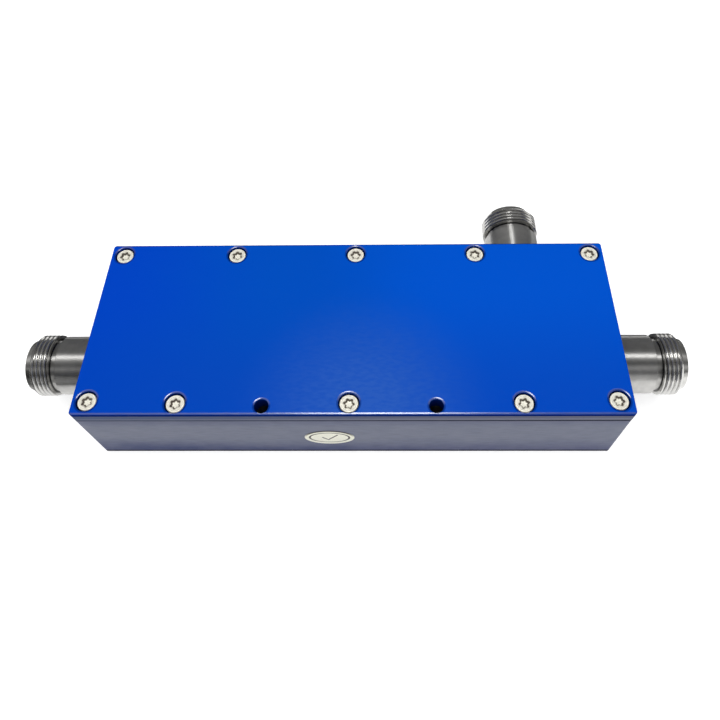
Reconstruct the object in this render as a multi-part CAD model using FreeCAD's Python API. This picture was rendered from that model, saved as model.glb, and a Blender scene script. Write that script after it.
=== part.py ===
"""Directional coupler with three type N female ports.

A milled aluminium tray carries a main line between two end ports and, beside it, a coupled line that
feeds the port in the back wall and ends in a matched load at its other end. A painted cover plate
closes the tray, held by ten cheese head screws that sit in its counterbores.

Millimetres, +Z up. The origin is on the base plane, under the centre of the cover's outline. +X runs
along the main line and +Y points from the front wall to the back wall, where the coupled port stands.
"""
import FreeCAD
import Part
import math
import os

Vector = FreeCAD.Vector

# Cover plate and tray
cover_length = 133.1
cover_width = 48.6
cover_thickness = 4.0
cover_overhang = 0.1
tray_height = 22.0
corner_radius = 0.75
top_edge_radius = 0.4
seam_chamfer = 0.15
base_chamfer = 0.2

# Tray walls
end_wall = 6.5
front_wall = 5.8
back_wall = 6.2
floor_thickness = 4.0
cavity_corner_radius = 3.0

# Cover screws, M2.5 with six-lobe recess
screw_diameter = 2.5
screw_head_diameter = 4.5
screw_head_height = 1.85
screw_head_edge = 0.2
screw_length = 8.0
screw_clearance_diameter = 2.9
screw_sink = 0.4
tapping_allowance = 0.02
tapped_runout = 1.0
counterbore_clearance = 0.3
recess_points_diameter = 2.9
recess_waist_diameter = 2.1
recess_depth = 1.0
recess_lobes = 6
recess_half_lobe = 13.0

# Screw and mounting hole layout
corner_inset_x = 3.6
corner_inset_y = 3.35
back_row_pitch = 32.2
front_row_pitch = 41.2
front_row_shift = -0.5
edge_land = 0.25
mounting_hole_diameter = 3.5
mounting_hole_pitch = 41.2

# Lines. The three shares are of the cavity: its width for the places, its height for the diameter
main_line_share = 0.354
line_spacing_share = 0.426
line_diameter_share = 0.556
line_end_taper = 2.0
coupled_port_inset = 21.7
coupled_line_overrun = 4.5
pin_diameter = 2.5
pin_engagement = 4.0
pin_hole_runout = 0.5
fit_clearance = 0.02

# Type N port
port_body_diameter = 15.2
port_body_length = 9.95
port_body_chamfer = 0.75
port_groove_diameter = 13.2
port_groove_length = 1.15
port_thread_diameter = 15.875
port_thread_length = 4.0
port_thread_lead = 0.65
port_lead_diameter = 14.4
port_nose_diameter = 13.0
port_nose_length = 0.9
port_nose_chamfer = 0.2
port_bore_diameter = 8.1
port_bore_depth = 9.1
port_mouth_chamfer = 0.3
port_line_diameter = 7.0
port_spigot_diameter = 13.0
insulator_diameter = 10.1
insulator_reach = 6.5
contact_diameter = 3.04
contact_setback = 4.3
contact_shoulder_diameter = 4.6
contact_shoulder_thickness = 1.0
contact_bore_diameter = 1.65
contact_bore_depth = 6.0
contact_slot_width = 0.35
contact_slot_length = 5.5
contact_tip_chamfer = 0.3

# Line supports
support_thickness = 4.0
support_width = 14.0
support_slot_depth = 0.5
support_slot_clearance = 0.1
main_support_inset = 32.5
coupled_support_inset = 40.5

# Matched load
load_flange_length = 16.0
load_flange_width = 6.4
load_flange_thickness = 1.6
load_chip_side = 6.4
load_chip_thickness = 1.0
load_screw_pitch = 11.2
load_screw_length = 4.0
load_hole_diameter = 2.7
load_screw_runout = 0.4
load_lead_width = 2.0
load_lead_thickness = 0.4
load_lead_foot = 2.5
load_flat_depth = 0.4
load_flat_margin = 1.0

# Inspection sticker
sticker_length = 12.5
sticker_height = 8.8
sticker_thickness = 0.12
sticker_x = -6.1
sticker_z = 10.7

# Sizes that follow
tray_x0 = -cover_length / 2
tray_x1 = cover_length / 2 - cover_overhang
front_y = -cover_width / 2
back_y = cover_width / 2
cover_top = tray_height + cover_thickness
cavity_width = cover_width - front_wall - back_wall
cavity_height = tray_height - floor_thickness
axis_z = floor_thickness + cavity_height / 2
main_line_y = front_y + front_wall + main_line_share * cavity_width
coupled_line_y = main_line_y + line_spacing_share * cavity_width
line_radius = line_diameter_share * cavity_height / 2
coupled_port_x = cover_length / 2 - coupled_port_inset
load_x = -coupled_port_x
main_support_x = cover_length / 2 - main_support_inset
coupled_support_x = cover_length / 2 - coupled_support_inset
counterbore_diameter = screw_head_diameter + 2 * counterbore_clearance
counterbore_depth = screw_head_height + screw_sink
under_head_z = cover_top - counterbore_depth
port_thread_start = port_body_length + port_body_chamfer + port_groove_length
port_nose_start = port_thread_start + 2 * port_thread_lead + port_thread_length
port_length = port_nose_start + port_nose_length
port_reference = port_length - port_bore_depth
contact_tip = port_length - contact_setback
flange_top = floor_thickness + load_flange_thickness
chip_top = flange_top + load_chip_thickness
load_flat_z = axis_z - line_radius + load_flat_depth


def block(low, high):
    """A box from its lowest to its highest corner."""
    size = Vector(*high) - Vector(*low)
    return Part.makeBox(size.x, size.y, size.z, Vector(*low))


def post(diameter, x, y, z0, z1):
    """An upright cylinder."""
    return Part.makeCylinder(diameter / 2, z1 - z0, Vector(x, y, z0))


def upright_edges(shape):
    """The edges of a shape that run straight along Z."""
    def is_upright(edge):
        ends = [vertex.Point for vertex in edge.Vertexes]
        return len(ends) == 2 and (ends[1] - ends[0]).cross(Vector(0, 0, 1)).Length < 1e-6

    return [edge for edge in shape.Edges if is_upright(edge)]


def rim_edges(shape, z):
    """The edges of a shape that lie in the level plane at z."""
    def is_level(edge):
        box = edge.BoundBox
        return abs(box.ZMin - z) < 1e-6 and abs(box.ZMax - z) < 1e-6

    return [edge for edge in shape.Edges if is_level(edge)]


def rounded_block(low, high, radius):
    """A box with its four upright edges rounded."""
    box = block(low, high)
    return box.makeFillet(radius, upright_edges(box))


def turned(profile):
    """A piece turned about the X axis, from its outline of (station, radius) points."""
    points = [Vector(station, 0, radius) for station, radius in profile]
    outline = Part.Face(Part.makePolygon(points + points[:1]))
    return outline.revolve(Vector(0, 0, 0), Vector(1, 0, 0), 360)


def cover_screw_places():
    """The ten cover screws: four corners, three more along the back and three along the front."""
    corner_x = cover_length / 2 - corner_inset_x
    corner_y = cover_width / 2 - corner_inset_y
    front_row_y = front_y + edge_land + counterbore_diameter / 2
    corners = [(x, y) for y in (-corner_y, corner_y) for x in (-corner_x, corner_x)]
    back_row = [(step * back_row_pitch, corner_y) for step in (-1, 0, 1)]
    front_row = [(front_row_shift + step * front_row_pitch, front_row_y) for step in (-1, 0, 1)]
    return corners + back_row + front_row


def mounting_hole_places():
    """The two mounting holes, between the front row's screws and a little nearer to the front face."""
    y = front_y + edge_land + mounting_hole_diameter / 2
    return [(front_row_shift + side * mounting_hole_pitch / 2, y) for side in (-1, 1)]


def load_screw_places():
    """The two screws at the ends of the load's flange."""
    return [(load_x + side * load_screw_pitch / 2, coupled_line_y) for side in (-1, 1)]


def port_places():
    """Each port's name, the point where its axis leaves the tray, its heading in degrees and its wall."""
    return [
        ("input", Vector(tray_x0, main_line_y, axis_z), 180, end_wall),
        ("output", Vector(tray_x1, main_line_y, axis_z), 0, end_wall),
        ("coupled", Vector(coupled_port_x, back_y, axis_z), 90, back_wall),
    ]


def at_port(shape, point, heading):
    """Moves a piece from the X axis to a port, with its station 0 on the tray's outer face."""
    placed = shape.copy()
    placed.rotate(Vector(0, 0, 0), Vector(0, 0, 1), heading)
    placed.translate(point)
    return placed


def support_places():
    """Each line's name, its y and the stations of its supports."""
    return [
        ("main", main_line_y, [side * main_support_x for side in (-1, 1)]),
        ("coupled", coupled_line_y, [side * coupled_support_x for side in (-1, 1)]),
    ]


def support_box(x, y, clearance):
    """A support's block, or with a clearance the room that it needs in the floor."""
    half_x = support_thickness / 2 + clearance
    half_y = support_width / 2 + clearance
    seat_z = floor_thickness - support_slot_depth
    return block((x - half_x, y - half_y, seat_z), (x + half_x, y + half_y, tray_height))


def make_tray():
    """The milled tray: outer block, line cavity, port holes, tapped holes, mounting holes, support slots."""
    tray = rounded_block((tray_x0, front_y, 0), (tray_x1, back_y, tray_height), corner_radius)
    tray = tray.makeChamfer(base_chamfer, rim_edges(tray, 0))
    tray = tray.makeChamfer(seam_chamfer, rim_edges(tray, tray_height))
    cavity_low = (tray_x0 + end_wall, front_y + front_wall, floor_thickness)
    cavity_high = (tray_x1 - end_wall, back_y - back_wall, tray_height)
    cuts = [rounded_block(cavity_low, cavity_high, cavity_corner_radius)]
    port_hole_radius = port_spigot_diameter / 2 + fit_clearance
    for name, point, heading, wall in port_places():
        hole = Part.makeCylinder(port_hole_radius, wall, Vector(-wall, 0, 0), Vector(1, 0, 0))
        cuts.append(at_port(hole, point, heading))
    tapped_diameter = screw_diameter + 2 * tapping_allowance
    for x, y in cover_screw_places():
        cuts.append(post(tapped_diameter, x, y, under_head_z - screw_length - tapped_runout, tray_height))
    for x, y in load_screw_places():
        bottom = flange_top - load_screw_length - load_screw_runout
        cuts.append(post(tapped_diameter, x, y, bottom, floor_thickness))
    for x, y in mounting_hole_places():
        cuts.append(post(mounting_hole_diameter, x, y, 0, tray_height))
    for name, y, stations in support_places():
        cuts += [support_box(x, y, support_slot_clearance) for x in stations]
    return tray.cut(cuts)


def make_cover():
    """The cover plate with its counterbored screw holes and two plain mounting holes."""
    plate = rounded_block(
        (-cover_length / 2, front_y, tray_height), (cover_length / 2, back_y, cover_top), corner_radius
    )
    plate = plate.makeFillet(top_edge_radius, rim_edges(plate, cover_top))
    plate = plate.makeChamfer(seam_chamfer, rim_edges(plate, tray_height))
    cuts = []
    for x, y in cover_screw_places():
        cuts.append(post(screw_clearance_diameter, x, y, tray_height, under_head_z))
        cuts.append(post(counterbore_diameter, x, y, under_head_z, cover_top))
    for x, y in mounting_hole_places():
        cuts.append(post(mounting_hole_diameter, x, y, tray_height, cover_top))
    return plate.cut(cuts)


def recess(z0, z1):
    """The six-lobe driver recess, as a star of arcs through its waists and points."""
    waist = recess_waist_diameter / 2
    points = recess_points_diameter / 2
    flank = (waist + points) / 2
    pitch = 360 / recess_lobes

    def at(radius, degrees):
        angle = math.radians(degrees)
        return Vector(radius * math.cos(angle), radius * math.sin(angle), z0)

    arcs = []
    for lobe in range(recess_lobes):
        angle = pitch * lobe
        lobe_start = at(flank, angle - recess_half_lobe)
        lobe_end = at(flank, angle + recess_half_lobe)
        next_start = at(flank, angle + pitch - recess_half_lobe)
        arcs.append(Part.Arc(lobe_start, at(points, angle), lobe_end).toShape())
        arcs.append(Part.Arc(lobe_end, at(waist, angle + pitch / 2), next_start).toShape())
    return Part.Face(Part.Wire(arcs)).extrude(Vector(0, 0, z1 - z0))


def make_screw(x, y, head_seat, length):
    """A cheese head screw with its head's underside at head_seat."""
    top = head_seat + screw_head_height
    head = post(screw_head_diameter, 0, 0, head_seat, top)
    head = head.makeChamfer(screw_head_edge, rim_edges(head, top))
    shank = post(screw_diameter, 0, 0, head_seat - length, head_seat)
    screw = head.fuse(shank).cut(recess(top - recess_depth, top))
    screw.translate(Vector(x, y, 0))
    return screw


def make_cover_screws():
    """The ten cover screws, as a group of separate solids."""
    return Part.makeCompound(
        [make_screw(x, y, under_head_z, screw_length) for x, y in cover_screw_places()]
    )


def make_port_shell(wall):
    """A port's outer conductor: spigot in the wall, plain body, undercut, thread and nose."""
    body = port_body_diameter / 2
    groove = port_groove_diameter / 2
    thread = port_thread_diameter / 2
    nose = port_nose_diameter / 2
    bore = port_bore_diameter / 2
    spigot = port_spigot_diameter / 2
    groove_start = port_body_length + port_body_chamfer
    crest_start = port_thread_start + port_thread_lead
    return turned([
        (-wall, spigot),
        (0, spigot),
        (0, body),
        (port_body_length, body),
        (groove_start, groove),
        (port_thread_start, groove),
        (crest_start, thread),
        (crest_start + port_thread_length, thread),
        (port_nose_start, port_lead_diameter / 2),
        (port_nose_start, nose),
        (port_length - port_nose_chamfer, nose),
        (port_length, nose - port_nose_chamfer),
        (port_length, bore + port_mouth_chamfer),
        (port_length - port_mouth_chamfer, bore),
        (port_reference, bore),
        (port_reference, port_line_diameter / 2),
        (insulator_reach, port_line_diameter / 2),
        (insulator_reach, insulator_diameter / 2),
        (-wall, insulator_diameter / 2),
    ])


def make_port_insulator(wall):
    """A port's dielectric sleeve, held between the shell's step and the contact's shoulder."""
    hole = contact_diameter / 2 + fit_clearance
    outer = insulator_diameter / 2 - fit_clearance
    return turned([(-wall, hole), (-wall, outer), (insulator_reach, outer), (insulator_reach, hole)])


def make_port_contact(wall, pin_length):
    """A port's centre contact: four spring fingers, stem, shoulder and the pin that enters its line."""
    stem = contact_diameter / 2
    bore = contact_bore_diameter / 2
    shoulder = -wall - contact_shoulder_thickness
    contact = turned([
        (shoulder - pin_length, 0),
        (shoulder - pin_length, pin_diameter / 2),
        (shoulder, pin_diameter / 2),
        (shoulder, contact_shoulder_diameter / 2),
        (-wall, contact_shoulder_diameter / 2),
        (-wall, stem),
        (contact_tip - contact_tip_chamfer, stem),
        (contact_tip, stem - contact_tip_chamfer),
        (contact_tip, bore + contact_tip_chamfer / 2),
        (contact_tip - contact_tip_chamfer / 2, bore),
        (contact_tip - contact_bore_depth, bore),
        (contact_tip - contact_bore_depth, 0),
    ])
    half_slot = contact_slot_width / 2
    slot_start = contact_tip - contact_slot_length
    across = block((slot_start, -stem, -half_slot), (contact_tip, stem, half_slot))
    upright = block((slot_start, -half_slot, -stem), (contact_tip, half_slot, stem))
    return contact.cut([across, upright])


def line_rod(x0, x1, y):
    """A round line conductor with tapered ends."""
    tip = line_radius - line_end_taper
    rod = turned([
        (x0, 0),
        (x0, tip),
        (x0 + line_end_taper, line_radius),
        (x1 - line_end_taper, line_radius),
        (x1, tip),
        (x1, 0),
    ])
    rod.translate(Vector(0, y, axis_z))
    return rod


def make_main_line():
    """The main line, between the shoulders of the end ports' contacts, with a pin hole in each end."""
    x0 = tray_x0 + end_wall + contact_shoulder_thickness
    x1 = tray_x1 - end_wall - contact_shoulder_thickness
    depth = pin_engagement + pin_hole_runout
    radius = pin_diameter / 2 + fit_clearance
    holes = [
        Part.makeCylinder(radius, depth, Vector(x0, main_line_y, axis_z), Vector(1, 0, 0)),
        Part.makeCylinder(radius, depth, Vector(x1, main_line_y, axis_z), Vector(-1, 0, 0)),
    ]
    return line_rod(x0, x1, main_line_y).cut(holes)


def make_coupled_line():
    """The coupled line, with a cross hole for its port's pin and a flat under it for the load's lead."""
    x0 = load_x - coupled_line_overrun
    x1 = coupled_port_x + coupled_line_overrun
    surface = coupled_line_y + line_radius
    hole = Part.makeCylinder(
        pin_diameter / 2 + fit_clearance,
        pin_engagement + pin_hole_runout,
        Vector(coupled_port_x, surface, axis_z),
        Vector(0, -1, 0),
    )
    flat = block(
        (load_x - load_flat_margin, coupled_line_y - line_radius, axis_z - line_radius),
        (load_x + load_lead_foot + load_flat_margin, coupled_line_y + line_radius, load_flat_z),
    )
    return line_rod(x0, x1, coupled_line_y).cut([hole, flat])


def make_supports(y, stations):
    """Dielectric blocks that carry one line, seated in slots in the floor and held down by the cover."""
    hole = Part.makeCylinder(
        line_radius + fit_clearance, cover_length, Vector(-cover_length / 2, y, axis_z), Vector(1, 0, 0)
    )
    return Part.makeCompound([support_box(x, y, 0).cut(hole) for x in stations])


def make_load_flange():
    """The load's mounting flange with its two screw holes."""
    half_length = load_flange_length / 2
    half_width = load_flange_width / 2
    flange = block(
        (load_x - half_length, coupled_line_y - half_width, floor_thickness),
        (load_x + half_length, coupled_line_y + half_width, flange_top),
    )
    holes = [post(load_hole_diameter, x, y, floor_thickness, flange_top) for x, y in load_screw_places()]
    return flange.cut(holes)


def make_load_chip():
    """The load's resistor chip on its flange."""
    half = load_chip_side / 2
    return block(
        (load_x - half, coupled_line_y - half, flange_top), (load_x + half, coupled_line_y + half, chip_top)
    )


def make_load_lead():
    """The bent lead from the chip up to the flat under the coupled line."""
    y0 = coupled_line_y - load_lead_width / 2
    y1 = coupled_line_y + load_lead_width / 2
    lower_foot = block((load_x - load_lead_foot, y0, chip_top), (load_x, y1, chip_top + load_lead_thickness))
    riser = block((load_x - load_lead_thickness, y0, chip_top), (load_x, y1, load_flat_z))
    upper_foot = block(
        (load_x - load_lead_thickness, y0, load_flat_z - load_lead_thickness),
        (load_x + load_lead_foot, y1, load_flat_z),
    )
    return lower_foot.fuse([riser, upper_foot]).removeSplitter()


def make_load_screws():
    """The two screws that hold the load's flange to the floor."""
    return Part.makeCompound(
        [make_screw(x, y, flange_top, load_screw_length) for x, y in load_screw_places()]
    )


def make_sticker():
    """The oval inspection sticker on the tray's front face."""
    outline = Part.Ellipse(Vector(0, 0, 0), sticker_length / 2, sticker_height / 2)
    sticker = Part.Face(Part.Wire([outline.toShape()])).extrude(Vector(0, 0, sticker_thickness))
    sticker.rotate(Vector(0, 0, 0), Vector(1, 0, 0), 90)
    sticker.translate(Vector(sticker_x, front_y, sticker_z))
    return sticker


def make_parts():
    """Every piece of the coupler, by its name."""
    parts = {
        "housing": make_tray(),
        "cover": make_cover(),
        "cover_screws": make_cover_screws(),
        "main_line": make_main_line(),
        "coupled_line": make_coupled_line(),
        "load_flange": make_load_flange(),
        "load_chip": make_load_chip(),
        "load_lead": make_load_lead(),
        "load_screws": make_load_screws(),
        "inspection_sticker": make_sticker(),
    }
    line_gap = back_y - back_wall - contact_shoulder_thickness - coupled_line_y - line_radius
    pin_lengths = {"input": pin_engagement, "output": pin_engagement, "coupled": line_gap + pin_engagement}
    for name, point, heading, wall in port_places():
        parts[name + "_port_shell"] = at_port(make_port_shell(wall), point, heading)
        parts[name + "_port_insulator"] = at_port(make_port_insulator(wall), point, heading)
        parts[name + "_port_contact"] = at_port(make_port_contact(wall, pin_lengths[name]), point, heading)
    for name, y, stations in support_places():
        parts[name + "_line_supports"] = make_supports(y, stations)
    return parts


os.makedirs("parts", exist_ok=True)
for part_name, part_shape in make_parts().items():
    part_shape.exportStep("parts/" + part_name + ".step")
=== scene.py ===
"""Looks of the directional coupler: painted cover, plated ports with cut threads, screws, sticker and studio.

Everything is in metres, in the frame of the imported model: +X runs along the main line, +Y points to the
back wall and +Z up out of the cover. Sizes that the model holds are read from it, and the others are the
properties below, which the sidebar panel lists. A named pair in a finish is where a fade starts and ends,
and a pair named span is what it goes from and to.
"""
import math

import bmesh
import bpy
from bpy.props import FloatProperty, FloatVectorProperty, IntProperty, PointerProperty
from bpy.types import Operator, Panel, PropertyGroup
from mathutils import Euler, Matrix, Vector


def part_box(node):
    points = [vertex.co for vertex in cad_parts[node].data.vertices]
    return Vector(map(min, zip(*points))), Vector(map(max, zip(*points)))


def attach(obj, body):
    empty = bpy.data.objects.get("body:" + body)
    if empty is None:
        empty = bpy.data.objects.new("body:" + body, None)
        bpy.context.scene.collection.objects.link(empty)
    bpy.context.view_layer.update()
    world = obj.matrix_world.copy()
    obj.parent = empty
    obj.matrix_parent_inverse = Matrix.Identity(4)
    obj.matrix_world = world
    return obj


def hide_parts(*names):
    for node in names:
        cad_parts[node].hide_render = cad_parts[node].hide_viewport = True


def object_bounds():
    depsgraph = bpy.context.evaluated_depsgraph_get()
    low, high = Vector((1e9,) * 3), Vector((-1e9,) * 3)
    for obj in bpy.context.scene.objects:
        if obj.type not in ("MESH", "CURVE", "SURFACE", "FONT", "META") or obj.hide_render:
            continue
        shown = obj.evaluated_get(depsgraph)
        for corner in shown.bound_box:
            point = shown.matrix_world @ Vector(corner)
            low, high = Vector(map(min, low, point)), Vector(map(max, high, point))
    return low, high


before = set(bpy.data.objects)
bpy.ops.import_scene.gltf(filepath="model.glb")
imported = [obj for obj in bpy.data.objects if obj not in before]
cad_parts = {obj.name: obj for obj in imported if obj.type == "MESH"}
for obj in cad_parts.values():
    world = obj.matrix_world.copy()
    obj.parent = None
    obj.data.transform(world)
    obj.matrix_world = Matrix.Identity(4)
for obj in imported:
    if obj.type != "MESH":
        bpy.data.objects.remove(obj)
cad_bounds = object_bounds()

bl_info = {
    "name": "Directional coupler looks",
    "version": (1, 0, 0),
    "blender": (4, 5, 0),
    "location": "View3D > Sidebar > Coupler",
    "description": "Finishes, threads, screws, sticker and studio of a directional coupler",
    "category": "Object",
}

# The angle about +Z at which each port points.
PORTS = {"input": math.pi, "output": 0.0, "coupled": math.pi / 2}
# Radius of the upright corners of the tray and the cover.
CORNER_RADIUS = 0.00075
# Edges that turn less than this are shaded as one round surface.
SMOOTH_ANGLE = math.radians(38)
# Lengths under this one count as none.
TINY = 1e-7


def length(name, description, default):
    """A size in metres, for a panel."""
    settings = {"min": 0.0, "precision": 5, "unit": "LENGTH"}
    return FloatProperty(name=name, description=description, default=default, **settings)


def factor(name, description, default):
    """A number without a unit, for a panel."""
    return FloatProperty(name=name, description=description, default=default, min=0.0, subtype="FACTOR")


def watts(name, description, default):
    """A lamp's power, for a panel."""
    return FloatProperty(name=name, description=description, default=default, min=0.0, unit="POWER")


def colour(name, description, default):
    """A colour for a panel, as sRGB eight bit values."""
    linear = [srgb_to_linear(value) for value in default]
    settings = {"min": 0.0, "max": 1.0, "subtype": "COLOR"}
    return FloatVectorProperty(name=name, description=description, default=linear, **settings)


def srgb_to_linear(value):
    """One eight bit sRGB value as scene light."""
    share = value / 255
    return share / 12.92 if share <= 0.04045 else ((share + 0.055) / 1.055) ** 2.4


class CoverSizes(PropertyGroup):
    """Sizes of the cover's holes and of the paint's soft roll round its edges."""

    counterbore: length("Counterbore", "Diameter of the screws' counterbores", 0.0051)
    hole: length("Hole", "Diameter of the two mounting holes", 0.0035)
    hole_spacing: length("Hole spacing", "Distance between the mounting holes", 0.0412)
    hole_middle: length("Hole middle", "How far left of the cover's middle the holes' middle lies", 0.0005)
    hole_inset: length("Hole inset", "Distance from the front edge to the holes' middle", 0.002)
    roll: length("Roll", "Width of the strip in which the paint rolls into a hole", 0.0005)
    roll_slope: factor("Roll slope", "Slope of the paint at a hole's rim", 0.34)
    edge_roll: length("Edge roll", "Width of the strip in which the paint leans to a long edge", 0.00045)
    edge_lean: factor("Edge lean", "That lean beside the lean at a hole's rim", 0.45)


class PortSizes(PropertyGroup):
    """Sizes of a port's outer conductor, with stations counted from the tray's outer face."""

    body_diameter: length("Body", "Diameter of the plain body", 0.0152)
    body_length: length("Body length", "Length of the plain body", 0.00985)
    body_chamfer: length("Body chamfer", "Broken edge of the body at the groove", 0.0002)
    groove_diameter: length("Groove", "Diameter of the groove behind the thread", 0.0132)
    groove_length: length("Groove length", "Length of the groove behind the thread", 0.0016)
    thread_length: length("Thread length", "Length of the full thread", 0.0043)
    thread_lead: length("Thread lead", "Length of the slope at the thread's front end", 0.0005)
    thread_pitch: length("Thread pitch", "Distance from crest to crest", 0.0254 / 24)
    thread_depth: length("Thread depth", "Height of a crest over its root", 0.00048)
    thread_crest: length("Thread crest", "Width of the flat crest", 0.0004)
    lead_diameter: length("Lead", "Diameter where the thread ends at the nose", 0.0149)
    nose_diameter: length("Nose", "Diameter of the nose", 0.0131)
    nose_chamfer: length("Nose chamfer", "Broken edge of the nose", 0.0002)
    nose_length: length("Nose length", "Length of the nose", 0.0016)
    bore_diameter: length("Bore", "Diameter of the socket", 0.0081)
    bore_depth: length("Bore depth", "Depth of the socket", 0.0091)
    mouth_chamfer: length("Mouth chamfer", "Broken edge of the socket's mouth", 0.0003)
    line_diameter: length("Line bore", "Diameter of the bore behind the socket", 0.007)
    spigot_diameter: length("Spigot", "Diameter of the spigot in the wall", 0.013)
    insulator_diameter: length("Insulator bore", "Diameter of the bore that holds the insulator", 0.0101)
    insulator_reach: length("Insulator reach", "Depth to which the insulator stands in the body", 0.0065)
    turn_steps: IntProperty(name="Turn steps", description="Steps round a full turn", default=120, min=24)


class ScrewSizes(PropertyGroup):
    """Sizes of the cover's cheese head screws."""

    head_diameter: length("Head", "Diameter of the head", 0.0045)
    head_edge: length("Head edge", "Radius of the head's rounded edge", 0.00025)
    shank_diameter: length("Shank", "Diameter of the shank", 0.0025)
    shank_length: length("Shank length", "Length under the head", 0.008)
    recess_points: length("Recess points", "Diameter over the six lobes", 0.0026)
    recess_waist: length("Recess waist", "Diameter between the lobes", 0.00185)
    recess_depth: length("Recess depth", "Depth of the recess's walls", 0.0005)
    recess_floor: factor("Recess floor", "Size of the recess's floor beside its mouth", 0.7)
    recess_rim: length("Recess rim", "Broken edge of the recess", 0.00006)
    recess_cone: length("Recess cone", "Depth of the cone at the recess's bottom", 0.00008)
    ring_diameter: length("Ring", "Diameter of the shallow ring that is turned into the head", 0.0035)
    ring_depth: length("Ring depth", "Depth of the shallow ring", 0.00004)


class StickerSizes(PropertyGroup):
    """Sizes of the oval sticker's printed ring and tick."""

    edge: length("Edge", "Rounding of the sticker's edge", 0.00003)
    ring_length: length("Ring length", "Length of the printed oval ring", 0.0099)
    ring_height: length("Ring height", "Height of the printed oval ring", 0.0064)
    ring_width: length("Ring width", "Width of the printed ring", 0.00042)
    tick_size: length("Tick", "Length of the tick's long stroke", 0.0034)
    tick_width: length("Tick width", "Width of the tick's strokes", 0.00042)


class FinishColours(PropertyGroup):
    """Colours of the finishes."""

    cover_left: colour("Cover, left", "Blue paint at the cover's left end", (0, 66, 192))
    cover_middle: colour("Cover, middle", "Blue paint left of the cover's middle", (0, 76, 187))
    cover_right: colour("Cover, right", "Blue paint at the cover's right end", (0, 81, 201))
    cover_front: colour("Cover, front", "Blue paint near the cover's front edge", (0, 66, 180))
    # Painted reflection: the paler blue before the front middle screw, where the glossy paint would mirror the
    # lamp overhead.
    cover_reflection: colour("Cover, haze", "Paler blue haze before the front middle screw", (38, 88, 184))
    # Painted shade: the dark blue on the paint's rounded edges and on the walls of its holes.
    cover_edge_shade: colour("Cover, edge", "Blue paint where it rounds the edges and holes", (0, 32, 104))
    cover_side_left: colour("Cover side, left", "Grey blue of its sides at the left", (68, 82, 116))
    cover_side_right: colour("Cover side, right", "Grey blue of its sides at the right", (98, 100, 120))
    side: colour("Sides", "Grey blue of the milled side faces", (122, 127, 145))
    # Painted shade: the sides go darker and bluer towards the foot.
    shaded_foot_left: colour("Foot, left", "Bluer grey at the foot of the side faces at the left", (44, 57, 108))
    shaded_foot_right: colour("Foot, right", "Bluer grey at the foot of the side faces at the right", (83, 88, 125))
    seam: colour("Seam", "Dark line of the seam and of the bottom edge", (30, 32, 50))
    # Painted shade: the bare metal inside is given a dark colour for the shade in the tray and its holes.
    inside: colour("Inside", "Bare metal inside the tray and its holes", (40, 42, 48))
    plating: colour("Plating", "Plated ports", (206, 205, 202))
    # Painted shade: the dark colour in the thread's roots and at its wall's foot.
    thread_shade: colour("Grime", "Dark roots of the threads", (26, 26, 26))
    steel: colour("Screws", "Screw steel", (255, 252, 236))
    # Painted shade: the brown of the recess walls stands in for the shade in the screws' recesses.
    recess: colour("Recess", "Dark walls of the screw recesses", (70, 54, 42))
    gold: colour("Gold", "Gold plated contacts", (222, 182, 92))
    silver: colour("Silver", "Silver plated lines", (214, 212, 206))
    dielectric: colour("Dielectric", "White dielectric", (236, 235, 230))
    ceramic: colour("Ceramic", "Load chip", (232, 229, 218))
    paper: colour("Paper", "Sticker paper", (250, 249, 232))
    # This colour serves the print and the painted shadow along the sticker's upper edge.
    ink_and_shadow: colour("Ink", "Sticker print", (72, 68, 60))
    floor: colour("Floor", "Studio floor", (240, 240, 240))


class StageSettings(PropertyGroup):
    """Light levels of the studio."""

    room: factor("Room", "Even light from all round", 0.5)
    overhead: watts("Overhead", "Power of the soft lamp overhead", 2.2)
    front: watts("Front", "Power of the soft lamp in front", 0.8)
    glint: watts("Glint", "Power of the lamp that glints in gloss", 7.0)
    floor_glow: factor("Floor glow", "Light that the floor adds where the camera sees it", 0.5)


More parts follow.
